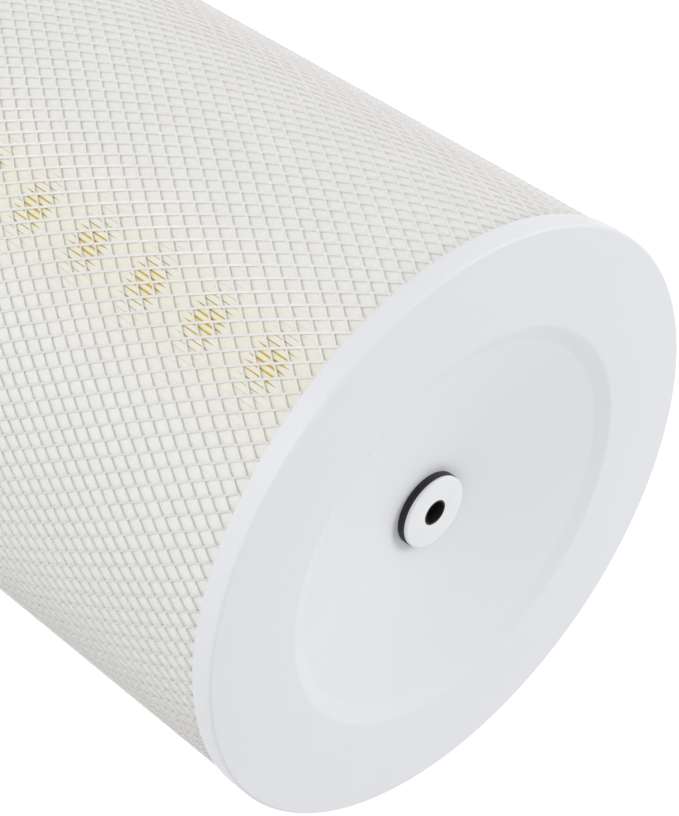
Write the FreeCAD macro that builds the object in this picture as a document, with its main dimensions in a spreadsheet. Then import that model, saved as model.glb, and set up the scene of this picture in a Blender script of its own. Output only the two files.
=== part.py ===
import FreeCAD, Part
import math
import os
import re

import Sketcher

# Dust collector filter cartridge, standing on its open end with the closed end cap up.
# Millimetres, +Z up, origin on the axis at the foot of the end gasket.

# Every size of the cartridge, each set once: name, value, what it is.
SIZES = [
    ("element_length", 660.0, "from the face of one end cap to the face of the other"),
    ("cap_sheet", 0.9, "steel sheet of the end caps"),
    ("skirt_depth", 13.0, "end cap skirt, over the guard"),
    ("skirt_bend", 1.3, "width of the bend from face to skirt, drawn as one facet"),
    ("bore_radius", 120.65, "clean air outlet, inside the open cap's collar"),
    ("collar_depth", 13.0, "open cap's collar, inside the liner"),
    ("collar_bend", 1.3, "width of the bend from face to collar, drawn as one facet"),
    ("recess_play", 2.3, "from the liner to the top edge of the closed cap's step"),
    ("recess_run", 9.5, "width of the sloped step in the closed cap"),
    ("recess_depth", 4.0, "height of that step"),
    ("dish_depth", 25.0, "closed cap's centre below its face"),
    ("seat_margin", 1.1, "flat seat beyond the sealing washer"),
    ("hole_radius", 6.6, "hole for the clamping rod"),
    ("guard_play", 0.3, "from the guard to the skirt round it"),
    ("guard_height", 1.5, "overall thickness of the raised expanded metal"),
    ("guard_cells", 15.0, "diamonds in one row of the guard"),
    ("guard_rows", 6.0, "whole rows of diamonds in the guard"),
    ("guard_strand", 14.0, "metal between two diamonds of one row of the guard"),
    ("guard_bond", 26.0, "metal between two diamonds tip to tip in the guard"),
    ("liner_play", 0.25, "from the liner to the collar inside it"),
    ("liner_height", 1.2, "overall thickness of the liner"),
    ("liner_cells", 12.0, "diamonds in one row of the liner"),
    ("liner_rows", 4.0, "whole rows of diamonds in the liner"),
    ("liner_strand", 12.0, "metal between two diamonds of one row of the liner"),
    ("liner_bond", 26.0, "metal between two diamonds tip to tip in the liner"),
    ("potting_depth", 9.0, "cast adhesive ring in each cap"),
    ("pleat_count", 313.0, "folds of the filter sheet"),
    ("pleat_depth", 49.7, "from the inner folds to the outer ones"),
    ("media_sheet", 0.35, "thickness of the filter sheet"),
    ("tip_play", 0.3, "from the outer folds to the guard"),
    ("root_play", 0.3, "from the inner folds to the liner"),
    ("gasket_width", 26.0, "end gasket, across its section"),
    ("gasket_height", 12.0, "end gasket, uncompressed"),
    ("gasket_edge", 1.5, "slope along the gasket's foot edges"),
    ("washer_radius", 21.9, "rubber of the sealing washer"),
    ("rubber_proud", 0.4, "how far that rubber stands out round the steel disc on it"),
    ("washer_plate", 2.0, "thickness of that disc"),
    ("washer_lining", 1.0, "rubber that lines the disc's bore"),
    ("washer_edge", 0.6, "pressed slope of that disc's upper rim"),
    ("rubber_height", 4.4, "rubber bonded under the disc"),
    ("rubber_lip", 1.8, "height of each of the rubber's two lips"),
    ("rubber_groove", 0.7, "depth of the groove between the two lips"),
]

# Sizes that follow from those above: name and formula.
WORKED_OUT = [
    ("open_face", "=gasket_height"),
    ("closed_face", "=gasket_height + element_length"),
    ("open_inside", "=open_face + cap_sheet"),
    ("closed_inside", "=closed_face - cap_sheet"),
    ("open_skirt_end", "=open_face + skirt_depth"),
    ("closed_skirt_end", "=closed_face - skirt_depth"),
    ("collar_end", "=open_face + collar_depth"),
    ("inner_skirt_bend", "=skirt_bend - cap_sheet * (2 - sqrt(2))"),
    ("guard_foot", "=open_inside + inner_skirt_bend"),
    ("guard_head", "=closed_inside - inner_skirt_bend"),
    ("collar_outside", "=bore_radius + cap_sheet"),
    ("inner_collar_bend", "=collar_bend - cap_sheet * (2 - sqrt(2))"),
    ("liner_inside", "=collar_outside + liner_play"),
    ("liner_outside", "=liner_inside + liner_height"),
    ("liner_foot", "=open_inside + inner_collar_bend"),
    ("liner_head", "=closed_inside - inner_collar_bend"),
    ("pleat_inside", "=liner_outside + root_play"),
    ("pleat_outside", "=pleat_inside + pleat_depth"),
    ("pleat_foot", "=open_inside + potting_depth"),
    ("pleat_head", "=closed_inside - potting_depth"),
    ("guard_inside", "=pleat_outside + tip_play"),
    ("guard_outside", "=guard_inside + guard_height"),
    ("skirt_inside", "=guard_outside + guard_play"),
    ("cap_radius", "=skirt_inside + cap_sheet"),
    ("recess_edge", "=liner_inside - recess_play"),
    ("recess_foot", "=recess_edge - recess_run"),
    ("recess_floor", "=closed_face - recess_depth"),
    ("dish_flat", "=washer_radius + seat_margin"),
    ("washer_seat", "=closed_face - dish_depth"),
    ("plate_seat", "=washer_seat + rubber_height"),
    ("plate_top", "=plate_seat + washer_plate"),
    ("plate_bore", "=hole_radius + washer_lining"),
    ("plate_radius", "=washer_radius - rubber_proud"),
    ("rubber_waist", "=washer_seat + rubber_height / 2"),
    ("lower_lip", "=washer_seat + rubber_lip"),
    ("upper_lip", "=plate_seat - rubber_lip"),
    ("groove_foot", "=washer_radius - rubber_groove"),
    ("gasket_middle", "=(bore_radius + cap_radius) / 2"),
    ("gasket_inside", "=gasket_middle - gasket_width / 2"),
    ("gasket_outside", "=gasket_middle + gasket_width / 2"),
    # Bends of the closed cap: slopes of step and dish, and where the sheet's under side turns.
    ("step_slope", "=atan(recess_depth / recess_run)"),
    ("dish_slope", "=atan((dish_depth - recess_depth) / (recess_foot - dish_flat))"),
    ("edge_under", "=recess_edge + cap_sheet * tan(step_slope / 2)"),
    ("bend_spread", "=cap_sheet / cos((step_slope - dish_slope) / 2)"),
    ("foot_under", "=recess_foot + bend_spread * sin((step_slope + dish_slope) / 2)"),
    ("foot_under_height", "=recess_floor - bend_spread * cos((step_slope + dish_slope) / 2)"),
    ("flat_under", "=dish_flat + cap_sheet * tan(dish_slope / 2)"),
    ("seat_under", "=washer_seat - cap_sheet"),
    # Diamonds of guard and liner: their first and last heights, the step from row to row,
    # and half the width and height of one.
    ("guard_from", "=open_skirt_end"),
    ("guard_to", "=closed_skirt_end"),
    ("guard_step", "=(guard_to - guard_from) / (guard_rows + 1)"),
    ("guard_half_width", "=pi * guard_outside / guard_cells - guard_strand / 2"),
    ("guard_half_height", "=guard_step - guard_bond / 2"),
    ("liner_from", "=collar_end"),
    ("liner_to", "=pleat_head"),
    ("liner_step", "=(liner_to - liner_from) / (liner_rows + 1)"),
    ("liner_half_width", "=pi * liner_outside / liner_cells - liner_strand / 2"),
    ("liner_half_height", "=liner_step - liner_bond / 2"),
]

TOUCH = 0.01  # how near an edge must be to the place where it is looked for


def filled_sheet(doc):
    """The sheet of sizes: name in column A, value in column B, note in column C."""
    sheet = doc.addObject("Spreadsheet::Sheet", "Sizes")
    rows = [(name, repr(value), note) for name, value, note in SIZES]
    rows += [(name, formula, "worked out") for name, formula in WORKED_OUT]
    for number, (name, content, note) in enumerate(rows, start=1):
        sheet.set(f"A{number}", name)
        sheet.set(f"B{number}", content)
        sheet.set(f"C{number}", note)
        sheet.setAlias(f"B{number}", name)
    doc.recompute()
    return sheet


def linked(formula):
    """A formula in names of sizes, as an object outside the sheet must write it."""
    return re.sub("[a-z_]+", r"Sizes.\g<0>", str(formula))


def size_of(doc, formula):
    """What a formula in names of sizes comes to, as a plain number."""
    value = doc.getObject("Sizes").evalExpression(linked(formula))
    return float(getattr(value, "Value", value))


def own(body, role):
    """One plane or axis of a body's own origin."""
    return next(item for item in body.Origin.OriginFeatures if item.Role == role)


def new_body(doc, label):
    body = doc.addObject("PartDesign::Body", label)
    body.Label = label
    return body


def upright_sketch(body, name):
    """An empty sketch on the body's XZ plane."""
    sketch = body.newObject("Sketcher::SketchObject", name)
    sketch.AttachmentSupport = [(own(body, "XZ_Plane"), "")]
    sketch.MapMode = "FlatFace"
    return sketch


def draw(sketch, corners):
    """Adds one closed outline, each corner a pair of formulas: across the sketch and up it."""
    doc = sketch.Document
    points = [FreeCAD.Vector(size_of(doc, across), size_of(doc, up), 0) for across, up in corners]
    ends = points[1:] + points[:1]
    lines = [sketch.addGeometry(Part.LineSegment(start, end)) for start, end in zip(points, ends)]
    for line, following in zip(lines, lines[1:] + lines[:1]):
        sketch.addConstraint(Sketcher.Constraint("Coincident", line, 2, following, 1))
    for line, point, (across, up) in zip(lines, points, corners):
        for direction, value, formula in (("DistanceX", point.x, across), ("DistanceY", point.y, up)):
            place = sketch.addConstraint(Sketcher.Constraint(direction, -1, 1, line, 1, value))
            sketch.setExpression(f"Constraints[{place}]", linked(formula))


def turned(body, name, corners):
    """An outline turned fully round the Z axis."""
    sketch = upright_sketch(body, f"{name}_outline")
    draw(sketch, corners)
    turn = body.newObject("PartDesign::Revolution", name)
    turn.Profile = sketch
    turn.ReferenceAxis = (own(body, "Z_Axis"), [""])
    turn.Angle = 360
    body.Document.recompute()
    return turn


def circles_at(feature, places):
    """Names of a feature's circular edges at the given places, each a pair of formulas: radius and height."""
    doc = feature.Document
    wanted = [(size_of(doc, radius), size_of(doc, height)) for radius, height in places]
    names = []
    for number, edge in enumerate(feature.Shape.Edges, start=1):
        if not isinstance(edge.Curve, Part.Circle):
            continue
        circle = edge.Curve
        for radius, height in wanted:
            if abs(circle.Radius - radius) < TOUCH and abs(circle.Center.z - height) < TOUCH:
                names.append(f"Edge{number}")
    return names


def sloped(base, name, places, width):
    """A slope of one width along a feature's circular edges."""
    body = base.getParentGeoFeatureGroup()
    slope = body.newObject("PartDesign::Chamfer", name)
    slope.Base = (base, circles_at(base, places))
    slope.setExpression("Size", linked(width))
    body.Document.recompute()
    return slope


def closed_end_cap(doc):
    """Pan stamped from one sheet: skirt, flat face, sloped step, dished floor and flat washer seat."""
    body = new_body(doc, "closed_end_cap")
    pan = turned(body, "pan", [
        ("hole_radius", "washer_seat"),
        ("dish_flat", "washer_seat"),
        ("recess_foot", "recess_floor"),
        ("recess_edge", "closed_face"),
        ("cap_radius", "closed_face"),
        ("cap_radius", "closed_skirt_end"),
        ("skirt_inside", "closed_skirt_end"),
        ("skirt_inside", "closed_inside"),
        ("edge_under", "closed_inside"),
        ("foot_under", "foot_under_height"),
        ("flat_under", "seat_under"),
        ("hole_radius", "seat_under"),
    ])
    rim = sloped(pan, "rim_bend", [("cap_radius", "closed_face")], "skirt_bend")
    sloped(rim, "inner_rim_bend", [("skirt_inside", "closed_inside")], "inner_skirt_bend")
    return body


def open_end_cap(doc):
    """Ring channel stamped from one sheet: outer skirt, flat face and the outlet's collar."""
    body = new_body(doc, "open_end_cap")
    channel = turned(body, "channel", [
        ("bore_radius", "open_face"),
        ("cap_radius", "open_face"),
        ("cap_radius", "open_skirt_end"),
        ("skirt_inside", "open_skirt_end"),
        ("skirt_inside", "open_inside"),
        ("collar_outside", "open_inside"),
        ("collar_outside", "collar_end"),
        ("bore_radius", "collar_end"),
    ])
    rim = sloped(channel, "rim_bend", [("cap_radius", "open_face")], "skirt_bend")
    rim = sloped(rim, "inner_rim_bend", [("skirt_inside", "open_inside")], "inner_skirt_bend")
    collar = sloped(rim, "collar_bend", [("bore_radius", "open_face")], "collar_bend")
    sloped(collar, "inner_collar_bend", [("collar_outside", "open_inside")], "inner_collar_bend")
    return body


def ring(doc, label, inside, outside, foot, head):
    """A plain ring of rectangular section."""
    body = new_body(doc, label)
    turned(body, f"{label}_ring", [(inside, foot), (outside, foot), (outside, head), (inside, head)])
    return body


def end_gasket(doc):
    """Foam rubber ring bonded under the open cap's face, with its foot edges broken."""
    body = ring(doc, "end_gasket", "gasket_inside", "gasket_outside", 0, "open_face")
    places = [("gasket_inside", 0), ("gasket_outside", 0)]
    sloped(body.Tip, "foot_edges", places, "gasket_edge")
    return body


def seal_washer_plate(doc):
    """Steel disc of the sealing washer, with a pressed rim."""
    body = ring(doc, "seal_washer_plate", "plate_bore", "plate_radius", "plate_seat", "plate_top")
    sloped(body.Tip, "rim", [("plate_radius", "plate_top")], "washer_edge")
    return body


def seal_washer_rubber(doc):
    """Rubber bonded under the disc and through its bore: two lips with a groove between them."""
    body = new_body(doc, "seal_washer_rubber")
    turned(body, "lips", [
        ("hole_radius", "washer_seat"),
        ("washer_radius", "washer_seat"),
        ("washer_radius", "lower_lip"),
        ("groove_foot", "rubber_waist"),
        ("washer_radius", "upper_lip"),
        ("washer_radius", "plate_seat"),
        ("plate_bore", "plate_seat"),
        ("plate_bore", "plate_top"),
        ("hole_radius", "plate_top"),
    ])
    return body


def expanded_tube(doc, label, tube):
    """Expanded metal rolled to a tube: staggered diamonds, long way up, between two plain end bands.

    Two columns of diamonds half a cell apart are cut and repeated round the tube. Each column ends
    in whole diamonds or, where its turn falls on an end band, in half ones.
    """
    body = ring(doc, label, f"{tube}_inside", f"{tube}_outside", f"{tube}_foot", f"{tube}_head")
    rows = int(size_of(doc, f"{tube}_rows"))
    for column in range(2):
        outlines = [diamond(tube, row, rows + 1) for row in range(column, rows + 2, 2)]
        cut_round(body, f"column_{column + 1}", outlines, tube, column)
    return body


def diamond(tube, row, last_row):
    """Corners of a diamond centred a number of rows up the tube: a half one on the first and last row."""
    centre = f"{tube}_from + {row} * {tube}_step"
    left = (f"-{tube}_half_width", centre)
    foot = (0, f"{centre} - {tube}_half_height")
    right = (f"{tube}_half_width", centre)
    head = (0, f"{centre} + {tube}_half_height")
    if row == 0:
        return [left, right, head]
    if row == last_row:
        return [left, foot, right]
    return [left, foot, right, head]


def cut_round(body, name, outlines, tube, half_cells):
    """Cuts outlines through a tube's wall, a number of half cells round it, and repeats them round it."""
    sketch = upright_sketch(body, f"{name}_outline")
    sketch.AttachmentOffset = FreeCAD.Placement(FreeCAD.Vector(), FreeCAD.Rotation(FreeCAD.Vector(0, 1, 0), 1))
    sketch.setExpression(".AttachmentOffset.Rotation.Angle", linked(f"{half_cells} * 180 / {tube}_cells"))
    for corners in outlines:
        draw(sketch, corners)
    cut = body.newObject("PartDesign::Pocket", name)
    cut.Profile = sketch
    cut.Type = "Length"
    cut.Refine = False
    cut.setExpression("Length", linked(f"{tube}_outside + {tube}_height"))
    pattern = body.newObject("PartDesign::PolarPattern", f"{name}_round")
    pattern.Originals = [cut]
    pattern.Axis = (own(body, "Z_Axis"), [""])
    pattern.Angle = 360
    pattern.Refine = False
    pattern.setExpression("Occurrences", linked(f"{tube}_cells"))
    body.Tip = pattern
    body.Document.recompute()


def pleat_pack(doc):
    """The filter sheet, folded to a closed ring of sharp pleats that keeps its thickness on every leg."""
    count = int(size_of(doc, "pleat_count"))
    tip = size_of(doc, "pleat_outside")
    root = size_of(doc, "pleat_inside")
    thickness = size_of(doc, "media_sheet")
    half_pitch = math.pi / count
    # The leg's own direction: from a root to the tip half a pitch further round.
    lean = math.atan2(tip * math.sin(half_pitch), tip * math.cos(half_pitch) - root)
    tip_inset = thickness / math.sin(lean - half_pitch)
    root_inset = thickness / math.sin(lean)
    outer = zigzag(count, tip, root + root_inset)
    inner = zigzag(count, tip - tip_inset, root)
    foot = size_of(doc, "pleat_foot")
    height = size_of(doc, "pleat_head") - foot
    section = Part.Face([outer, inner])
    section.validate()
    pack = doc.addObject("Part::Feature", "pleat_pack")
    pack.Label = "pleat_pack"
    pack.Shape = section.extrude(FreeCAD.Vector(0, 0, height))
    pack.Placement = FreeCAD.Placement(FreeCAD.Vector(0, 0, foot), FreeCAD.Rotation())
    return pack


def zigzag(count, tip, root):
    """A closed star of straight legs between two radii."""
    points = []
    for index in range(2 * count):
        angle = math.pi * index / count
        radius = root if index % 2 else tip
        points.append(FreeCAD.Vector(radius * math.cos(angle), radius * math.sin(angle), 0))
    return Part.makePolygon(points + points[:1])


def check(doc, parts):
    """Stops the build where an object failed or a sub-part has no sound shape."""
    for item in doc.Objects:
        if "Invalid" in item.State or "Error" in item.State:
            raise RuntimeError(f"{item.Name} failed: {item.State}")
    for item in parts:
        if item.Shape.isNull() or not item.Shape.isValid():
            raise RuntimeError(f"{item.Label} has no valid shape")


def main():
    doc = FreeCAD.newDocument("filter_cartridge")
    filled_sheet(doc)
    parts = [
        closed_end_cap(doc),
        open_end_cap(doc),
        expanded_tube(doc, "outer_guard", "guard"),
        expanded_tube(doc, "inner_liner", "liner"),
        pleat_pack(doc),
        ring(doc, "closed_end_potting", "liner_outside", "guard_inside", "pleat_head", "closed_inside"),
        ring(doc, "open_end_potting", "liner_outside", "guard_inside", "open_inside", "pleat_foot"),
        end_gasket(doc),
        seal_washer_plate(doc),
        seal_washer_rubber(doc),
    ]
    doc.recompute()
    check(doc, parts)
    os.makedirs("parts", exist_ok=True)
    for item in parts:
        item.Shape.exportStep(f"parts/{item.Label}.step")
        print(item.Label, round(item.Shape.Volume, 1), len(item.Shape.Solids), len(item.Shape.Faces))


main()
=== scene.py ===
import math

import bmesh
import bpy
from mathutils import Matrix, Vector


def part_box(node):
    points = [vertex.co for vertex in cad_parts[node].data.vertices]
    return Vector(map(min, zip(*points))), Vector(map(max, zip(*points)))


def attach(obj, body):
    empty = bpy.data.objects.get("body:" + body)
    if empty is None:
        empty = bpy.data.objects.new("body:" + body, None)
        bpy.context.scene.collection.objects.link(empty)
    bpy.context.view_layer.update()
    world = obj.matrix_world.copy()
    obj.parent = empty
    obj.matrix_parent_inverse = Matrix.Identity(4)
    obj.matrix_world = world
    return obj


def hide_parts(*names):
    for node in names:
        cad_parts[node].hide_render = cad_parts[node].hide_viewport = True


# Looks of the dust collector filter cartridge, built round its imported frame. Metres, +Z up the
# cartridge's axis, the gasket's foot at 0.

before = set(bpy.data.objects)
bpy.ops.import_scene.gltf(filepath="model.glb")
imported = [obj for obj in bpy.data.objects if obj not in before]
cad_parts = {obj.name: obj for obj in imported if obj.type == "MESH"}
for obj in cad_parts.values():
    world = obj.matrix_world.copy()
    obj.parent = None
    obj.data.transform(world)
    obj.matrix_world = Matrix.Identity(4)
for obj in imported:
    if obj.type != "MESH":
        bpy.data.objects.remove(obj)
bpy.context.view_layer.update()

MM = 0.001

# Heights and radii that the frame gives.
GASKET_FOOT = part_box("end_gasket")[0].z
OPEN_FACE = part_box("end_gasket")[1].z
CLOSED_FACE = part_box("closed_end_cap")[1].z
OPEN_SKIRT_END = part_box("open_end_cap")[1].z
CAP_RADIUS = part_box("closed_end_cap")[1].x
GUARD_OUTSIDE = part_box("outer_guard")[1].x
LINER_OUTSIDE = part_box("inner_liner")[1].x
PLEAT_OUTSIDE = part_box("pleat_pack")[1].x
PLEAT_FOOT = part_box("pleat_pack")[0].z
PLEAT_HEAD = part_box("pleat_pack")[1].z
GASKET_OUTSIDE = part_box("end_gasket")[1].x
WASHER_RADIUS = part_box("seal_washer_rubber")[1].x
PLATE_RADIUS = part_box("seal_washer_plate")[1].x
WASHER_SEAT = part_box("seal_washer_rubber")[0].z
PLATE_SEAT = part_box("seal_washer_plate")[0].z
PLATE_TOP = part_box("seal_washer_plate")[1].z

# Sizes of the pressings and the washer, as in the part's source.
SHEET = 0.9 * MM
SKIRT_DEPTH = 13.0 * MM
BORE_RADIUS = 120.65 * MM
HOLE_RADIUS = 6.6 * MM
RECESS_EDGE = 119.5 * MM
RECESS_FOOT = 110.0 * MM
RECESS_DEPTH = 4.0 * MM
DISH_FLAT = 23.0 * MM
PLATE_BORE = 7.6 * MM
LIP_HEIGHT = 1.8 * MM
GROOVE_DEPTH = 0.7 * MM
GASKET_WIDTH = 26.0 * MM

# The pressings' bends, as radii on the sheet's outer face.
SKIRT_BEND = 1.9 * MM
STEP_BEND = 6.0 * MM
STEP_FOOT_BEND = 9.0 * MM
SEAT_BEND = 14.0 * MM
CUT_EDGE = 0.3 * MM

# Facets round the axis.
CAP_FACETS = 288
GASKET_FACETS = 192
WASHER_FACETS = 160
SHARP_ANGLE = math.radians(35)

# Most of a noise texture's values lie between these.
NOISE_LOW, NOISE_HIGH = 0.3, 0.7

# Sockets of a Mix node for colours, by number because other sockets have the same names.
MIX_FACTOR, MIX_BASE, MIX_LAID = 0, 6, 7
MIX_RESULT = 2


# Meshes

def link(name, mesh, material, slot, *nodes):
    """Makes a piece of a finished mesh, which rides on the cartridge and stands for CAD nodes."""
    mesh.name = name
    piece = bpy.data.objects.new(name, mesh)
    bpy.context.scene.collection.objects.link(piece)
    mesh.materials.clear()
    mesh.materials.append(material)
    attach(piece, "root")
    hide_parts(*nodes)


def rounded(corners, steps=6):
    """Points along an outline whose corners are (radius, height, bend): a bend becomes an arc."""
    points = []
    count = len(corners)
    for index, (x, z, bend) in enumerate(corners):
        here = Vector((x, z))
        before = Vector(corners[index - 1][:2])
        after = Vector(corners[(index + 1) % count][:2])
        if not bend:
            points.append(here)
            continue
        to_before = (before - here).normalized()
        to_after = (after - here).normalized()
        half = to_before.angle(to_after) / 2
        reach = bend / math.tan(half)
        centre = here + (to_before + to_after).normalized() * bend / math.sin(half)
        start = here + to_before * reach - centre
        end = here + to_after * reach - centre
        sweep = start.angle_signed(end)
        for step in range(steps + 1):
            turn = Matrix.Rotation(-sweep * step / steps, 2)
            points.append(centre + turn @ start)
    return points


def turned(points, facets):
    """Mesh of a closed outline of (radius, height) points, turned fully round the axis."""
    mesh = bpy.data.meshes.new("turned")
    shape = bmesh.new()
    rings = []
    for facet in range(facets):
        angle = 2 * math.pi * facet / facets
        out = Vector((math.cos(angle), math.sin(angle)))
        rings.append([shape.verts.new((*out * radius, z)) for radius, z in points])
    for ring, following in zip(rings, rings[1:] + rings[:1]):
        for index in range(len(points)):
            other = (index + 1) % len(points)
            shape.faces.new((ring[index], following[index], following[other], ring[other]))
    bmesh.ops.recalc_face_normals(shape, faces=shape.faces)
    for face in shape.faces:
        face.smooth = True
    shape.to_mesh(mesh)
    shape.free()
    mesh.set_sharp_from_angle(angle=SHARP_ANGLE)
    return mesh


# Materials

def linear(code):
    """An sRGB hex colour as linear RGBA."""
    parts = [int(code[place:place + 2], 16) / 255 for place in (1, 3, 5)]
    red, green, blue = (
        v / 12.92 if v <= 0.04045 else ((v + 0.055) / 1.055) ** 2.4 for v in parts)
    return red, green, blue, 1.0


def per_metre(millimetres):
    """Texture scale at which one feature is that wide."""
    return 1 / (millimetres * MM)


def add(tree, kind, inputs=None, stops=(), **settings):
    """Adds a node with its settings. Each input is a value or the output that feeds it.

    Stops are a colour ramp's hex colours, evenly spaced.
    """
    node = tree.nodes.new(kind)
    for name, value in settings.items():
        setattr(node, name, value)
    for name, value in (inputs or {}).items():
        if isinstance(value, bpy.types.NodeSocket):
            tree.links.new(value, node.inputs[name])
        else:
            node.inputs[name].default_value = value
    for index, code in enumerate(stops):
        elements = node.color_ramp.elements
        element = elements[index] if index < 2 else elements.new(1.0)
        element.position = index / (len(stops) - 1)
        element.color = linear(code)
    return node


def new_material(name):
    """A material with a Principled shader, its tree, that shader and Object coordinates."""
    material = bpy.data.materials.new(name)
    material.use_nodes = True
    tree = material.node_tree
    tree.nodes.clear()
    shader = add(tree, "ShaderNodeBsdfPrincipled")
    add(tree, "ShaderNodeOutputMaterial", {"Surface": shader.outputs["BSDF"]})
    place = add(tree, "ShaderNodeTexCoord").outputs["Object"]
    return material, tree, shader, place


def mottled(tree, place, colours, patch, detail=2.0):
    """A colour that drifts between two over patches that many millimetres wide."""
    patches = add(tree, "ShaderNodeTexNoise", {
        "Vector": place, "Scale": per_metre(patch), "Detail": detail}).outputs["Fac"]
    share = add(tree, "ShaderNodeMapRange", {
        "Value": patches, "From Min": NOISE_LOW, "From Max": NOISE_HIGH}).outputs["Result"]
    return add(tree, "ShaderNodeValToRGB", {"Fac": share}, stops=colours).outputs["Color"]


def wavy_gloss(tree, shader, place, roughness, wave, grain, depth):
    """Gloss that changes in slow waves, over a fine grain: their sizes are in millimetres."""
    waves = add(tree, "ShaderNodeTexNoise", {
        "Vector": place, "Scale": per_metre(wave)}).outputs["Fac"]
    rough = add(tree, "ShaderNodeMapRange", {
        "Value": waves, "From Min": NOISE_LOW, "From Max": NOISE_HIGH,
        "To Min": roughness[0], "To Max": roughness[1]})
    tree.links.new(rough.outputs["Result"], shader.inputs["Roughness"])
    grains = add(tree, "ShaderNodeTexNoise", {
        "Vector": place, "Scale": per_metre(grain)}).outputs["Fac"]
    relief = add(tree, "ShaderNodeBump", {"Height": grains, "Distance": depth * MM})
    tree.links.new(relief.outputs["Normal"], shader.inputs["Normal"])


def powder_coated_pressing():
    """Polyester powder coat on stamped steel: satin, with orange peel and slow waves of gloss."""
    material, tree, shader, place = new_material("powder_coated_pressing")
    coat = mottled(tree, place, ["#E8EAED", "#EAEBEF"], patch=60, detail=3)
    # Painted shade: the coat turns near black at the rod hole's edge, where the hole lies in
    # shade.
    flat = add(tree, "ShaderNodeVectorMath", {0: place, 1: (1, 1, 0)}, operation="MULTIPLY")
    radius = add(tree, "ShaderNodeVectorMath", {0: flat.outputs["Vector"]}, operation="LENGTH")
    hole_shade = add(tree, "ShaderNodeMapRange", {
        "Value": radius.outputs["Value"], "From Min": HOLE_RADIUS,
        "From Max": HOLE_RADIUS + 0.1 * MM, "To Min": 1, "To Max": 0}).outputs["Result"]
    mixed = add(tree, "ShaderNodeMix", {
        MIX_FACTOR: hole_shade, MIX_BASE: coat, MIX_LAID: linear("#2C2C2E")}, data_type="RGBA")
    tree.links.new(mixed.outputs[MIX_RESULT], shader.inputs["Base Color"])
    shader.inputs["IOR"].default_value = 1.5
    wavy_gloss(tree, shader, place, roughness=(0.36, 0.46), wave=9, grain=1.6, depth=0.012)
    return material


def powder_coated_mesh():
    """Powder coat on expanded steel: brighter, thick and smooth over the strands' rolled edges."""
    material, tree, shader, place = new_material("powder_coated_mesh")
    coat = mottled(tree, place, ["#EAE8E7", "#EEECEB"], patch=25, detail=3)
    tree.links.new(coat, shader.inputs["Base Color"])
    shader.inputs["IOR"].default_value = 1.5
    wavy_gloss(tree, shader, place, roughness=(0.28, 0.4), wave=5, grain=0.8, depth=0.01)
    return material


def cellulose_filter_paper():
    """Cellulose filter paper, hardened with resin: pale outside, painted amber and darker in the
    valleys.

    The amber and the darkening are a painted glow and painted shade: light through the paper,
    shade down the folds. Round the places where the pack is drawn open, a painted yellow glow lies
    on the folds' tips too.
    """
    material, tree, shader, place = new_material("cellulose_filter_paper")
    # Painted glow and shade: the colour runs from near white at the tips to a darker amber on the
    # valleys' floors, for light through the paper and shade down the folds.
    valley = add(tree, "ShaderNodeAttribute", attribute_name="valley").outputs["Fac"]
    depth = add(tree, "ShaderNodeValToRGB", {"Fac": valley}, stops=[
        "#FAFAF9", "#F9F2CC", "#F4E6A6", "#E9D37C", "#C6A856"])
    # Painted glow: the paper turns faintly yellow round the places where the pack is drawn open.
    drawn = add(tree, "ShaderNodeAttribute", attribute_name="drawn_open").outputs["Fac"]
    painted_yellow_glow = add(tree, "ShaderNodeValToRGB", {"Fac": drawn}, stops=["#FAFAF9", "#F9F7EA"])
    painted_glow_and_shade = add(tree, "ShaderNodeMix", {
        MIX_FACTOR: 1.0, MIX_BASE: depth.outputs["Color"], MIX_LAID: painted_yellow_glow.outputs["Color"]},
        data_type="RGBA", blend_type="MULTIPLY").outputs[MIX_RESULT]
    # Pulp is clumped about this wide. Its single fibres are too fine to show.
    fibres = add(tree, "ShaderNodeTexNoise", {
        "Vector": place, "Scale": per_metre(1.2), "Detail": 4.0}).outputs["Fac"]
    share = add(tree, "ShaderNodeMapRange", {
        "Value": fibres, "From Min": 0.25, "From Max": 0.75}).outputs["Result"]
    pulp = add(tree, "ShaderNodeValToRGB", {"Fac": share}, stops=["#F3F2EE", "#FFFFFF"])
    mixed = add(tree, "ShaderNodeMix", {
        MIX_FACTOR: 0.5, MIX_BASE: painted_glow_and_shade, MIX_LAID: pulp.outputs["Color"]},
        data_type="RGBA", blend_type="MULTIPLY")
    tree.links.new(mixed.outputs[MIX_RESULT], shader.inputs["Base Color"])
    shader.inputs["Roughness"].default_value = 0.85
    shader.inputs["Specular IOR Level"].default_value = 0.25
    relief = add(tree, "ShaderNodeBump", {"Height": fibres, "Distance": 0.05 * MM})
    tree.links.new(relief.outputs["Normal"], shader.inputs["Normal"])
    return material


def cast_urethane():
    """Two-part urethane, poured: dull off-white with small bubbles and slow waves."""
    material, tree, shader, place = new_material("cast_urethane")
    cast = mottled(tree, place, ["#DDD9CC", "#E8E5DA"], patch=15)
    tree.links.new(cast, shader.inputs["Base Color"])
    shader.inputs["Roughness"].default_value = 0.55
    bubbles = add(tree, "ShaderNodeTexVoronoi", {
        "Vector": place, "Scale": per_metre(2.5)}).outputs["Distance"]
    relief = add(tree, "ShaderNodeBump", {
        "Height": bubbles, "Distance": 0.2 * MM, "Strength": 0.4})
    tree.links.new(relief.outputs["Normal"], shader.inputs["Normal"])
    return material


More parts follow.
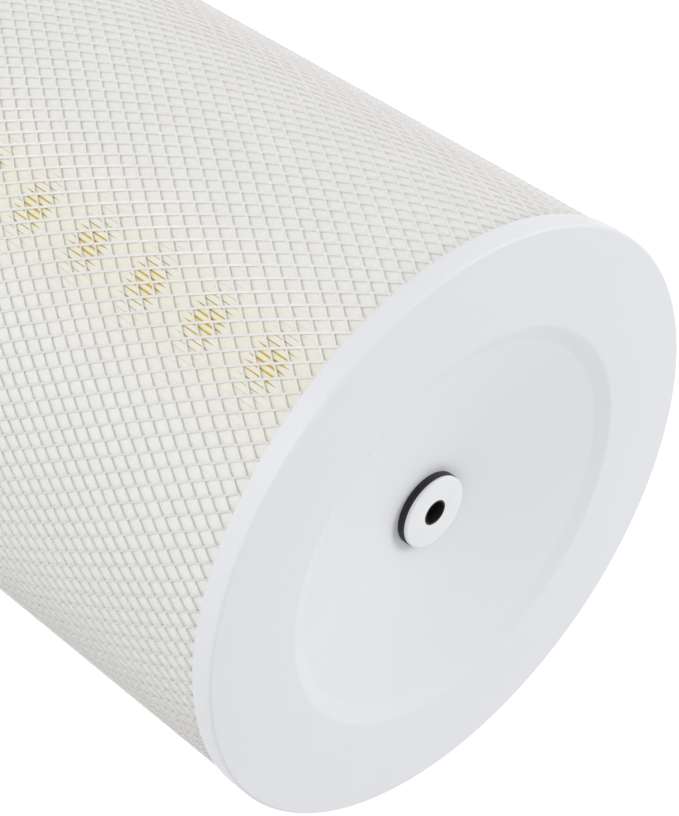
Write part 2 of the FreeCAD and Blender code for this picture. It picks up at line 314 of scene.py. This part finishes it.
def cut_neoprene_foam():
    """Closed-cell neoprene foam, sliced from sheet: matte black, with fine open cells a little
    darker in their hollows than on their rims.
    """
    material, tree, shader, place = new_material("cut_neoprene_foam")
    # Real cells are a few tenths of a millimetre wide, too fine to show.
    cells = add(tree, "ShaderNodeTexVoronoi", {
        "Vector": place, "Scale": per_metre(1.0)}).outputs["Distance"]
    # The black is a little darker where the bump is low, in the cells' hollows.
    share = add(tree, "ShaderNodeMapRange", {"Value": cells, "From Max": 0.6}).outputs["Result"]
    cell_tone = add(tree, "ShaderNodeValToRGB", {"Fac": share}, stops=["#161617", "#2A2A2B"])
    tree.links.new(cell_tone.outputs["Color"], shader.inputs["Base Color"])
    shader.inputs["Roughness"].default_value = 0.8
    relief = add(tree, "ShaderNodeBump", {
        "Height": cells, "Distance": 0.15 * MM, "Strength": 0.6})
    tree.links.new(relief.outputs["Normal"], shader.inputs["Normal"])
    return material


def baked_enamel_disc():
    """White enamel baked on a blanked steel disc: smoother than the caps, with a tighter gloss."""
    material, tree, shader, place = new_material("baked_enamel_disc")
    enamel = mottled(tree, place, ["#ECEEF0", "#F2F3F4"], patch=12)
    tree.links.new(enamel, shader.inputs["Base Color"])
    wavy_gloss(tree, shader, place, roughness=(0.3, 0.38), wave=3, grain=0.9, depth=0.006)
    return material


def moulded_epdm():
    """Moulded EPDM: near black with a grey bloom and a soft sheen along its lips."""
    material, tree, shader, place = new_material("moulded_epdm")
    bloom = mottled(tree, place, ["#141416", "#222326"], patch=4)
    tree.links.new(bloom, shader.inputs["Base Color"])
    shader.inputs["Specular IOR Level"].default_value = 0.4
    wavy_gloss(tree, shader, place, roughness=(0.45, 0.6), wave=2, grain=0.5, depth=0.01)
    return material


# Pressed and moulded pieces

def closed_end_cap(material):
    """Pan: skirt, flat face, sloped step and dished floor, one sheet with pressed bends."""
    foot = CLOSED_FACE - RECESS_DEPTH
    skirt_end = CLOSED_FACE - SKIRT_DEPTH
    inside = CLOSED_FACE - SHEET
    step_slope = math.atan(RECESS_DEPTH / (RECESS_EDGE - RECESS_FOOT))
    dish_slope = math.atan((foot - WASHER_SEAT) / (RECESS_FOOT - DISH_FLAT))
    # The sheet's other side, each bend offset square to the slopes that meet in it.
    edge_under = RECESS_EDGE + SHEET * math.tan(step_slope / 2)
    spread = SHEET / math.cos((step_slope - dish_slope) / 2)
    foot_under = RECESS_FOOT + spread * math.sin((step_slope + dish_slope) / 2)
    foot_under_z = foot - spread * math.cos((step_slope + dish_slope) / 2)
    flat_under = DISH_FLAT + SHEET * math.tan(dish_slope / 2)
    corners = [
        (HOLE_RADIUS, WASHER_SEAT, 0),
        (DISH_FLAT, WASHER_SEAT, SEAT_BEND),
        (RECESS_FOOT, foot, STEP_FOOT_BEND),
        (RECESS_EDGE, CLOSED_FACE, STEP_BEND),
        (CAP_RADIUS, CLOSED_FACE, SKIRT_BEND),
        (CAP_RADIUS, skirt_end, CUT_EDGE),
        (CAP_RADIUS - SHEET, skirt_end, CUT_EDGE),
        (CAP_RADIUS - SHEET, inside, SKIRT_BEND - SHEET),
        (edge_under, inside, STEP_BEND - SHEET),
        (foot_under, foot_under_z, STEP_FOOT_BEND + SHEET),
        (flat_under, WASHER_SEAT - SHEET, SEAT_BEND + SHEET),
        (HOLE_RADIUS, WASHER_SEAT - SHEET, 0),
    ]
    mesh = turned(rounded(corners), CAP_FACETS)
    link("cap_closed_end", mesh, material, "cap_paint", "closed_end_cap")


def open_end_cap(material):
    """Ring channel with its outer skirt and the outlet's collar."""
    inside = OPEN_FACE + SHEET
    corners = [
        (BORE_RADIUS, OPEN_FACE, SKIRT_BEND),
        (CAP_RADIUS, OPEN_FACE, SKIRT_BEND),
        (CAP_RADIUS, OPEN_SKIRT_END, CUT_EDGE),
        (CAP_RADIUS - SHEET, OPEN_SKIRT_END, CUT_EDGE),
        (CAP_RADIUS - SHEET, inside, SKIRT_BEND - SHEET),
        (BORE_RADIUS + SHEET, inside, SKIRT_BEND - SHEET),
        (BORE_RADIUS + SHEET, OPEN_SKIRT_END, CUT_EDGE),
        (BORE_RADIUS, OPEN_SKIRT_END, CUT_EDGE),
    ]
    mesh = turned(rounded(corners), CAP_FACETS)
    link("cap_open_end", mesh, material, "cap_paint", "open_end_cap")


def gasket(material):
    """Foam ring under the open end, its foot edges rounded by its skin."""
    inner = GASKET_OUTSIDE - GASKET_WIDTH
    skin = 2.0 * MM
    corners = [
        (inner, GASKET_FOOT, skin),
        (GASKET_OUTSIDE, GASKET_FOOT, skin),
        (GASKET_OUTSIDE, OPEN_FACE, 0),
        (inner, OPEN_FACE, 0),
    ]
    mesh = turned(rounded(corners), GASKET_FACETS)
    link("gasket", mesh, material, "foam_rubber", "end_gasket")


def washer_disc(material):
    """Blanked steel disc with a rolled upper rim."""
    corners = [
        (PLATE_BORE, PLATE_SEAT, 0),
        (PLATE_RADIUS, PLATE_SEAT, 0.2 * MM),
        (PLATE_RADIUS, PLATE_TOP, 0.9 * MM),
        (PLATE_BORE, PLATE_TOP, 0.25 * MM),
    ]
    mesh = turned(rounded(corners), WASHER_FACETS)
    link("washer_disc", mesh, material, "washer_paint", "seal_washer_plate")


def washer_rubber(material):
    """Rubber under the disc and through its bore: two round lips with a groove between them."""
    waist = (WASHER_SEAT + PLATE_SEAT) / 2
    groove = WASHER_RADIUS - GROOVE_DEPTH
    corners = [
        (HOLE_RADIUS, WASHER_SEAT, 0),
        (WASHER_RADIUS, WASHER_SEAT, 0.7 * MM),
        (WASHER_RADIUS, WASHER_SEAT + LIP_HEIGHT, 0.5 * MM),
        (groove, waist, 0.2 * MM),
        (WASHER_RADIUS, PLATE_SEAT - LIP_HEIGHT, 0.5 * MM),
        (WASHER_RADIUS, PLATE_SEAT, 0.7 * MM),
        (PLATE_BORE, PLATE_SEAT, 0),
        (PLATE_BORE, PLATE_TOP, 0.2 * MM),
        (HOLE_RADIUS, PLATE_TOP, 0.4 * MM),
    ]
    mesh = turned(rounded(corners, steps=4), WASHER_FACETS)
    link("washer_rubber", mesh, material, "black_rubber", "seal_washer_rubber")


# Expanded metal

class Cell:
    """Points of one cell of expanded metal, laid flat: X outwards, Y round the tube, Z up it.

    The hole is a hexagon at the origin. Its right corners stand out and its left ones in, so that
    the strands lie tilted as they do after stretching.
    """

    def __init__(self, width, height, bond_width, bond_length, bond_side, thickness, twist):
        self.width, self.height, self.thickness, self.twist = width, height, thickness, twist
        self.side = bond_side / 2
        self.head = height / 2 - bond_length / 2
        self.reach = width / 2 - bond_width / 2
        self.shape = bmesh.new()

    def hole(self, columns, rows):
        """Corners of the hole that many half cells away, each as its front and its back point."""
        y = columns * self.width / 2
        z = rows * self.height / 2
        corners = {
            "head": (0, y, z + self.head),
            "foot": (0, y, z - self.head),
            "left_head": (-self.twist, y - self.reach, z + self.side),
            "left_foot": (-self.twist, y - self.reach, z - self.side),
            "right_head": (self.twist, y + self.reach, z + self.side),
            "right_foot": (self.twist, y + self.reach, z - self.side),
        }
        new = self.shape.verts.new
        return {name: (new((x, *rest)), new((x - self.thickness, *rest)))
                for name, (x, *rest) in corners.items()}

    def skin(self, *corners):
        """One face in front, its corners against the clock, and the same behind."""
        self.shape.faces.new([front for front, back in corners])
        self.shape.faces.new([back for front, back in reversed(corners)])

    def wall(self, *corners):
        """Walls from front to back along a run of corners, the metal on its left."""
        for (front, back), (next_front, next_back) in zip(corners, corners[1:]):
            self.shape.faces.new((front, back, next_back, next_front))

    def mesh(self):
        """The finished cell, without the corners that no face uses."""
        mesh = bpy.data.meshes.new("cell")
        unused = [v for v in self.shape.verts if not v.link_faces]
        bmesh.ops.delete(self.shape, geom=unused, context="VERTS")
        bmesh.ops.triangulate(self.shape, faces=self.shape.faces)
        self.shape.to_mesh(mesh)
        self.shape.free()
        return mesh


def cell_mesh(sizes, part):
    """A whole cell, or the part of one that closes the lattice's foot or head."""
    cell = Cell(*sizes)
    here, beside = cell.hole(0, 0), cell.hole(2, 0)
    left, right = cell.hole(-1, 1), cell.hole(1, 1)
    if part != "head":
        cell.skin(here["head"], right["left_foot"], right["left_head"],
                  left["right_head"], left["right_foot"])
        cell.skin(here["right_head"], beside["left_head"], right["foot"])
        cell.skin(here["right_head"], right["foot"], right["left_foot"], here["head"])
        cell.skin(here["left_head"], here["head"], left["right_foot"], left["foot"])
        cell.wall(here["left_head"], here["head"], here["right_head"])
    if part != "foot":
        cell.wall(here["right_foot"], here["foot"], here["left_foot"])
    if part == "whole":
        cell.wall(here["right_head"], here["right_foot"])
        cell.wall(here["left_foot"], here["left_head"])
    elif part == "foot":
        cell.wall(here["right_head"], beside["left_head"])
    else:
        cell.wall(beside["left_foot"], beside["left_head"], here["right_head"], here["right_foot"])
    return cell.mesh()


def expanded_metal_tree():
    """Geometry Nodes: cells in staggered rows, wrapped round a tube and merged to one skin."""
    tree = bpy.data.node_groups.new("expanded_metal", "GeometryNodeTree")
    for name, kind in (("Foot cell", "Object"), ("Cell", "Object"), ("Head cell", "Object"),
                       ("Cells round", "Int"), ("Rows", "Int"), ("Radius", "Float"),
                       ("Row step", "Float"), ("First row", "Float"), ("Finish", "Material")):
        tree.interface.new_socket(name, in_out="INPUT", socket_type=f"NodeSocket{kind}")
    tree.interface.new_socket("Geometry", in_out="OUTPUT", socket_type="NodeSocketGeometry")
    given = add(tree, "NodeGroupInput").outputs
    index = add(tree, "GeometryNodeInputIndex").outputs[0]
    cells = given["Cells round"]
    # One flat point for each cell: the odd rows stand half a cell further round.
    count = add(tree, "ShaderNodeMath", {
        0: cells, 1: given["Rows"]}, operation="MULTIPLY").outputs[0]
    row = add(tree, "FunctionNodeIntegerMath", {
        0: index, 1: cells}, operation="DIVIDE_FLOOR").outputs[0]
    column = add(tree, "FunctionNodeIntegerMath", {
        0: index, 1: cells}, operation="MODULO").outputs[0]
    odd = add(tree, "FunctionNodeIntegerMath", {0: row, 1: 2}, operation="MODULO").outputs[0]
    girth = add(tree, "ShaderNodeMath", {
        0: given["Radius"], 1: 2 * math.pi}, operation="MULTIPLY").outputs[0]
    width = add(tree, "ShaderNodeMath", {0: girth, 1: cells}, operation="DIVIDE").outputs[0]
    place = add(tree, "ShaderNodeMath", {
        0: odd, 1: 0.5, 2: column}, operation="MULTIPLY_ADD").outputs[0]
    around = add(tree, "ShaderNodeMath", {0: place, 1: width}, operation="MULTIPLY").outputs[0]
    up = add(tree, "ShaderNodeMath", {
        0: row, 1: given["Row step"], 2: given["First row"]}, operation="MULTIPLY_ADD").outputs[0]
    flat = add(tree, "ShaderNodeCombineXYZ", {"Y": around, "Z": up}).outputs[0]
    points = add(tree, "GeometryNodePoints", {"Count": count, "Position": flat}).outputs[0]
    # The first and the last row get the cells that close the lattice.
    last = add(tree, "FunctionNodeIntegerMath", {
        0: given["Rows"], 1: 1}, operation="SUBTRACT").outputs[0]
    is_foot = add(tree, "FunctionNodeCompare", {
        2: row, 3: 0}, data_type="INT", operation="EQUAL").outputs[0]
    is_head = add(tree, "FunctionNodeCompare", {
        2: row, 3: last}, data_type="INT", operation="EQUAL").outputs[0]
    is_end = add(tree, "FunctionNodeBooleanMath", {
        0: is_foot, 1: is_head}, operation="OR").outputs[0]
    is_between = add(tree, "FunctionNodeBooleanMath", {0: is_end}, operation="NOT").outputs[0]
    joined = add(tree, "GeometryNodeJoinGeometry")
    for name, chosen in (("Foot cell", is_foot), ("Cell", is_between), ("Head cell", is_head)):
        cell = add(tree, "GeometryNodeObjectInfo", {"Object": given[name]}).outputs["Geometry"]
        laid = add(tree, "GeometryNodeInstanceOnPoints", {
            "Points": points, "Selection": chosen, "Instance": cell}).outputs[0]
        tree.links.new(laid, joined.inputs[0])
    real = add(tree, "GeometryNodeRealizeInstances", {"Geometry": joined.outputs[0]}).outputs[0]
    # The flat lattice is rolled into a tube, where its two side edges meet.
    position = add(tree, "GeometryNodeInputPosition").outputs[0]
    parts = add(tree, "ShaderNodeSeparateXYZ", {0: position}).outputs
    angle = add(tree, "ShaderNodeMath", {
        0: parts["Y"], 1: given["Radius"]}, operation="DIVIDE").outputs[0]
    radius = add(tree, "ShaderNodeMath", {
        0: parts["X"], 1: given["Radius"]}, operation="ADD").outputs[0]
    cosine = add(tree, "ShaderNodeMath", {0: angle}, operation="COSINE").outputs[0]
    sine = add(tree, "ShaderNodeMath", {0: angle}, operation="SINE").outputs[0]
    x = add(tree, "ShaderNodeMath", {0: radius, 1: cosine}, operation="MULTIPLY").outputs[0]
    y = add(tree, "ShaderNodeMath", {0: radius, 1: sine}, operation="MULTIPLY").outputs[0]
    rolled = add(tree, "ShaderNodeCombineXYZ", {"X": x, "Y": y, "Z": parts["Z"]}).outputs[0]
    wrapped = add(tree, "GeometryNodeSetPosition", {
        "Geometry": real, "Position": rolled}).outputs[0]
    merged = add(tree, "GeometryNodeMergeByDistance", {
        "Geometry": wrapped, "Distance": 0.02 * MM}).outputs[0]
    finished = add(tree, "GeometryNodeSetMaterial", {
        "Geometry": merged, "Material": given["Finish"]}).outputs[0]
    add(tree, "NodeGroupOutput", {"Geometry": finished})
    return tree


def grown(tree, inputs):
    """Plain mesh that a tree gives for these inputs."""
    seed = bpy.data.objects.new("seed", bpy.data.meshes.new("seed"))
    bpy.context.scene.collection.objects.link(seed)
    growth = seed.modifiers.new("growth", "NODES")
    growth.node_group = tree
    for item in tree.interface.items_tree:
        if item.in_out == "INPUT":
            growth[item.identifier] = inputs[item.name]
    ready = seed.evaluated_get(bpy.context.evaluated_depsgraph_get())
    mesh = bpy.data.meshes.new_from_object(ready)
    bpy.data.objects.remove(seed)
    return mesh


def expanded_tube(name, tube, first_row, rows, material, slot, node):
    """Tube of expanded metal with its long way up, from one of its rows on."""
    radius, step = tube["radius"], tube["row_step"]
    sizes = (2 * math.pi * radius / tube["cells"], 2 * step, tube["bond_width"],
             tube["bond_length"], tube["bond_side"], tube["thickness"], tube["twist"])
    parts = {"Foot cell": "foot", "Cell": "whole", "Head cell": "head"}
    cells = {label: bpy.data.objects.new(part, cell_mesh(sizes, part))
             for label, part in parts.items()}
    mesh = grown(expanded_metal_tree(), {
        **cells, "Cells round": tube["cells"], "Rows": rows, "Radius": radius,
        "Row step": step, "First row": tube["foot"] + first_row * step, "Finish": material})
    for cell in cells.values():
        bpy.data.objects.remove(cell)
    link(name, mesh, material, slot, node)


# Cells are counted round the tube. A bond is the metal where strands meet: its width round the
# tube, its length up it and the height of its sides. Strands tilt out and in by the twist.
GUARD = {
    "cells": 118, "row_step": 7.3 * MM, "radius": GUARD_OUTSIDE - 0.55 * MM, "foot": 21 * MM,
    "bond_width": 1.3 * MM, "bond_length": 2.6 * MM, "bond_side": 0.9 * MM,
    "thickness": 0.42 * MM, "twist": 0.55 * MM,
}
GUARD_ROWS = 89
LINER = {
    "cells": 64, "row_step": 12.5 * MM, "radius": LINER_OUTSIDE - 0.4 * MM, "foot": 20 * MM,
    "bond_width": 2.4 * MM, "bond_length": 6.5 * MM, "bond_side": 3.6 * MM,
    "thickness": 0.5 * MM, "twist": 0.3 * MM,
}
LINER_ROWS = 52


# Pleats

# Half the width of a fold, in pitches: where it touches the next ones, where it gapes at a dimple,
# and at its inner bend.
SHUT_HALF = 0.497
GAPING_HALF = 0.177
INNER_HALF = 0.08
# How far the folds gape, as a share of the most: in the places where the pack was drawn open, in
# a halo round these, and everywhere. A falloff is the power of a cosine that is 1 in such a place
# and 0 a quarter of the way to the next.
DRAWN_FALLOFF, DRAWN_GAPE = 90, 0.92
HALO_FALLOFF, HALO_GAPE = 17, 0.07
LEAST_GAPE = 0.01
# How fast the paper's painted yellow glow fades away from the drawn-open places.
PAINTED_GLOW_FALLOFF = 5
# Above 1, a dimple stays fully open over some of its height.
DIMPLE_FLATNESS = 1.5
# Valleys are at their shallowest wherever the folds gape by more than 1 over this.
RISE_STEEPNESS = 20


def pleat_tree():
    """Geometry Nodes: one skin of sharp folds whose outer side opens and closes up the axis."""
    tree = bpy.data.node_groups.new("pleats", "GeometryNodeTree")
    for name, kind in (("Pleats", "Int"), ("Steps", "Int"), ("Tip radius", "Float"),
                       ("Root radius", "Float"), ("Sheet", "Float"), ("Foot", "Float"),
                       ("Head", "Float"), ("Dimple step", "Float"), ("First dimple", "Float"),
                       ("Open side", "Float"), ("Open places", "Int"), ("Gape rise", "Float"),
                       ("Finish", "Material")):
        tree.interface.new_socket(name, in_out="INPUT", socket_type=f"NodeSocket{kind}")
    tree.interface.new_socket("Geometry", in_out="OUTPUT", socket_type="NodeSocketGeometry")
    given = add(tree, "NodeGroupInput").outputs
    index = add(tree, "GeometryNodeInputIndex").outputs[0]
    rows = add(tree, "ShaderNodeMath", {0: given["Steps"], 1: 4}, operation="ADD").outputs[0]
    row = add(tree, "FunctionNodeIntegerMath", {
        0: index, 1: rows}, operation="MODULO").outputs[0]
    column = add(tree, "FunctionNodeIntegerMath", {
        0: index, 1: rows}, operation="DIVIDE_FLOOR").outputs[0]

    # Each line makes one value: its name, the operation and its terms, which are numbers or the
    # names of values above it.
    values = dict(given.items(), row=row, column=column)
    for name, operation, *terms in (
        # Columns go round the pack, three to a pleat: the tip's two edges, then the valley's
        # floor. The last column lies on the first.
        ("columns", "MULTIPLY_ADD", "Pleats", 3, 1),
        ("phase", "MODULO", "column", 3),
        ("past middle", "ADD", "column", 0.5),
        ("pleats passed", "DIVIDE", "past middle", 3),
        ("pleat", "FLOOR", "pleats passed"),
        ("is valley", "COMPARE", "phase", 2, 0.1),
        ("is tip", "SUBTRACT", 1, "is valley"),
        # Rows run up the outer side, then down the inner side and back to the start.
        ("outer end", "ADD", "Steps", 0.5),
        ("inner head", "ADD", "Steps", 1.5),
        ("inner end", "ADD", "Steps", 2.5),
        ("past outer", "GREATER_THAN", "row", "outer end"),
        ("before start", "LESS_THAN", "row", "inner end"),
        ("is inner", "MULTIPLY", "past outer", "before start"),
        ("is outer", "SUBTRACT", 1, "is inner"),
        ("climbed", "MINIMUM", "row", "Steps"),
        ("climbed share", "DIVIDE", "climbed", "Steps"),
        ("back at foot", "GREATER_THAN", "row", "inner head"),
        ("not at foot", "SUBTRACT", 1, "back at foot"),
        ("share", "MULTIPLY", "climbed share", "not at foot"),
        ("length", "SUBTRACT", "Head", "Foot"),
        ("height", "MULTIPLY_ADD", "share", "length", "Foot"),
        # The folds gape at each dimple, most where the pack was drawn open, in a few places
        # round it.
        ("above first", "SUBTRACT", "height", "First dimple"),
        ("dimples passed", "DIVIDE", "above first", "Dimple step"),
        ("dimple turn", "MULTIPLY", "dimples passed", 2 * math.pi),
        ("dimple wave", "COSINE", "dimple turn"),
        ("dimple rise", "MULTIPLY", "dimple wave", DIMPLE_FLATNESS),
        ("dimple top", "MINIMUM", "dimple rise", 1),
        ("dimple", "MAXIMUM", "dimple top", 0),
        ("pitch", "DIVIDE", 2 * math.pi, "Pleats"),
        ("bearing", "MULTIPLY", "pleat", "pitch"),
        ("from open", "SUBTRACT", "bearing", "Open side"),
        ("open turn", "MULTIPLY", "from open", "Open places"),
        ("open wave", "COSINE", "open turn"),
        ("near", "MAXIMUM", "open wave", 0),
        ("halo", "POWER", "near", HALO_FALLOFF),
        ("halo gape", "MULTIPLY_ADD", "halo", HALO_GAPE, LEAST_GAPE),
        ("core", "POWER", "near", DRAWN_FALLOFF),
        ("drawn", "MULTIPLY_ADD", "core", DRAWN_GAPE, "halo gape"),
        ("gape", "MULTIPLY", "dimple", "drawn"),
        # Where a point of the outline lies round the axis.
        ("outer spread", "MULTIPLY_ADD", "gape", GAPING_HALF - SHUT_HALF, SHUT_HALF),
        ("outer half", "MULTIPLY", "outer spread", "is outer"),
        ("half", "MULTIPLY_ADD", "is inner", INNER_HALF, "outer half"),
        ("side", "MULTIPLY_ADD", "phase", 2, -1),
        ("sideways", "MULTIPLY", "side", "half"),
        ("tip offset", "MULTIPLY", "sideways", "is tip"),
        ("offset", "MULTIPLY_ADD", "is valley", 0.5, "tip offset"),
        ("pitches", "ADD", "pleat", "offset"),
        ("angle", "MULTIPLY", "pitches", "pitch"),
        # How far it lies from the axis. Where the pack is drawn open, the valleys are shallow,
        # so that light gets into them.
        ("tip inset", "MULTIPLY", "is inner", "Sheet"),
        ("tip", "SUBTRACT", "Tip radius", "tip inset"),
        ("steep rise", "MULTIPLY", "drawn", RISE_STEEPNESS),
        ("risen", "MINIMUM", "steep rise", 1),
        ("floor", "MULTIPLY_ADD", "risen", "Gape rise", "Sheet"),
        ("root", "MULTIPLY_ADD", "is outer", "floor", "Root radius"),
        ("tip part", "MULTIPLY", "tip", "is tip"),
        ("radius", "MULTIPLY_ADD", "root", "is valley", "tip part"),
        ("cosine", "COSINE", "angle"),
        ("sine", "SINE", "angle"),
        ("x", "MULTIPLY", "radius", "cosine"),
        ("y", "MULTIPLY", "radius", "sine"),
        # What the paper's painted glow and shade follow.
        ("drawn_open", "POWER", "near", PAINTED_GLOW_FALLOFF),
        ("valley", "MULTIPLY", "is valley", "is outer"),
    ):
        filled = {place: values.get(term, term) for place, term in enumerate(terms)}
        values[name] = add(tree, "ShaderNodeMath", filled, operation=operation).outputs[0]

    grid = add(tree, "GeometryNodeMeshGrid", {
        "Vertices X": values["columns"], "Vertices Y": rows}).outputs["Mesh"]
    place = add(tree, "ShaderNodeCombineXYZ", {
        "X": values["x"], "Y": values["y"], "Z": values["height"]}).outputs[0]
    folded = add(tree, "GeometryNodeSetPosition", {
        "Geometry": grid, "Position": place}).outputs[0]
    for name in ("drawn_open", "valley"):
        folded = add(tree, "GeometryNodeStoreNamedAttribute", {
            "Geometry": folded, "Name": name, "Value": values[name]}).outputs[0]
    merged = add(tree, "GeometryNodeMergeByDistance", {
        "Geometry": folded, "Distance": 0.005 * MM}).outputs[0]
    real = add(tree, "GeometryNodeRealizeInstances", {"Geometry": merged}).outputs[0]
    finished = add(tree, "GeometryNodeSetMaterial", {
        "Geometry": real, "Material": given["Finish"]}).outputs[0]
    add(tree, "NodeGroupOutput", {"Geometry": finished})
    return tree


def pleats(material):
    """The folded filter sheet: its outer side opens at the dimples, its inner side is plain.

    The skin is thicker than paper inside the folds, where nothing shows it.
    """
    mesh = grown(pleat_tree(), {
        "Pleats": 313, "Steps": 102, "Tip radius": PLEAT_OUTSIDE,
        "Root radius": LINER_OUTSIDE + 0.3 * MM, "Sheet": 3.5 * MM, "Foot": PLEAT_FOOT,
        "Head": PLEAT_HEAD, "Dimple step": 43.75 * MM, "First dimple": CLOSED_FACE - 41 * MM,
        "Open side": math.radians(154.5), "Open places": 3, "Gape rise": 45.45 * MM,
        "Finish": material})
    link("filter_pleats", mesh, material, "filter_paper", "pleat_pack")


# Stage

# Strengths of the even light from all round and of the floor's glow where it is seen.
AMBIENT = 0.72
FLOOR_GLOW = 0.4
FLOOR_RADIUS = 6


def seen_directly(tree):
    """1 for the rays that show the background, straight or through gloss and glass, else 0."""
    path = add(tree, "ShaderNodeLightPath").outputs
    seen = path["Is Camera Ray"]
    for ray in ("Is Glossy Ray", "Is Transmission Ray"):
        seen = add(tree, "ShaderNodeMath", {
            0: seen, 1: path[ray]}, operation="MAXIMUM").outputs[0]
    return seen


def white_floor():
    """A floor that shows white to the camera and keeps the cartridge's shadow."""
    material = bpy.data.materials.new("studio_floor")
    material.use_nodes = True
    tree = material.node_tree
    tree.nodes.clear()
    strength = add(tree, "ShaderNodeMath", {
        0: seen_directly(tree), 1: FLOOR_GLOW}, operation="MULTIPLY").outputs[0]
    matte = add(tree, "ShaderNodeBsdfDiffuse", {"Color": linear("#EAEAEA")}).outputs[0]
    glow = add(tree, "ShaderNodeEmission", {"Strength": strength}).outputs[0]
    both = add(tree, "ShaderNodeAddShader", {0: matte, 1: glow}).outputs[0]
    add(tree, "ShaderNodeOutputMaterial", {"Surface": both})
    mesh = bpy.data.meshes.new("floor")
    shape = bmesh.new()
    bmesh.ops.create_circle(shape, cap_ends=True, segments=64, radius=FLOOR_RADIUS)
    shape.to_mesh(mesh)
    shape.free()
    mesh.materials.append(material)
    floor = bpy.data.objects.new("floor", mesh)
    bpy.context.scene.collection.objects.link(floor)


def white_world():
    """Even white light from all round, shown as plain white behind the cartridge."""
    world = bpy.data.worlds.new("studio")
    bpy.context.scene.world = world
    world.use_nodes = True
    tree = world.node_tree
    tree.nodes.clear()
    strength = add(tree, "ShaderNodeMapRange", {
        "Value": seen_directly(tree), "To Min": AMBIENT, "To Max": 1.0}).outputs["Result"]
    sky = add(tree, "ShaderNodeBackground", {
        "Color": linear("#FFFFFF"), "Strength": strength}).outputs[0]
    add(tree, "ShaderNodeOutputWorld", {"Surface": sky})


def lamp(name, azimuth, height, distance, aim, size, power):
    """A square soft lamp that far from the axis, in degrees from +X, aimed at a height on it."""
    light = bpy.data.lights.new(name, "AREA")
    light.shape = "SQUARE"
    light.size = size
    light.energy = power
    item = bpy.data.objects.new(name, light)
    turn = math.radians(azimuth)
    item.location = Vector((math.cos(turn) * distance, math.sin(turn) * distance, height))
    towards = Vector((0, 0, aim)) - item.location
    item.rotation_mode = "QUATERNION"
    item.rotation_quaternion = towards.to_track_quat("-Z", "Y")
    bpy.context.scene.collection.objects.link(item)


# The photograph's camera, fitted to the closed cap's ellipses. The picture is turned, so that the
# cartridge leans left in it.
CAMERA_PLACE = Vector((-1.0164, 0.3883, CLOSED_FACE + 0.5991))
CAMERA_RIGHT = Vector((0.61437, 0.36755, 0.69817))
CAMERA_UP = Vector((0.00037, 0.88474, -0.46609))
FOCAL_LENGTH = 104.42
SENSOR_WIDTH = 36


def camera():
    """The photograph's view, over the closed end."""
    data = bpy.data.cameras.new("camera")
    data.sensor_width = SENSOR_WIDTH
    data.lens = FOCAL_LENGTH
    data.clip_start = 0.05
    data.clip_end = 50
    item = bpy.data.objects.new("camera", data)
    bpy.context.scene.collection.objects.link(item)
    axes = Matrix((CAMERA_RIGHT, CAMERA_UP, CAMERA_RIGHT.cross(CAMERA_UP))).transposed()
    item.matrix_world = Matrix.Translation(CAMERA_PLACE) @ axes.to_4x4()
    bpy.context.scene.camera = item


cap_coat = powder_coated_pressing()
mesh_coat = powder_coated_mesh()
closed_end_cap(cap_coat)
open_end_cap(cap_coat)
gasket(cut_neoprene_foam())
washer_disc(baked_enamel_disc())
washer_rubber(moulded_epdm())
# The guard is two pieces that meet in one row of cells, because one would be too heavy a mesh.
half_rows = GUARD_ROWS // 2
for name, first_row in (("guard_mesh_lower", 0), ("guard_mesh_upper", half_rows)):
    expanded_tube(name, GUARD, first_row, half_rows + 1, mesh_coat, "guard_paint", "outer_guard")
expanded_tube("liner_mesh", LINER, 0, LINER_ROWS, mesh_coat, "liner_steel", "inner_liner")
pleats(cellulose_filter_paper())
urethane = cast_urethane()
for node in ("closed_end_potting", "open_end_potting"):
    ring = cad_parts[node]
    ring.data.materials.clear()
    ring.data.materials.append(urethane)

white_floor()
white_world()
lamp("side_box", azimuth=168, height=0.42, distance=2.2, aim=0.4, size=0.8, power=9.5)
lamp("top_box", azimuth=50, height=3.1, distance=3.0, aim=CLOSED_FACE, size=1.6, power=42)
camera()

bpy.context.scene.view_settings.view_transform = "Standard"
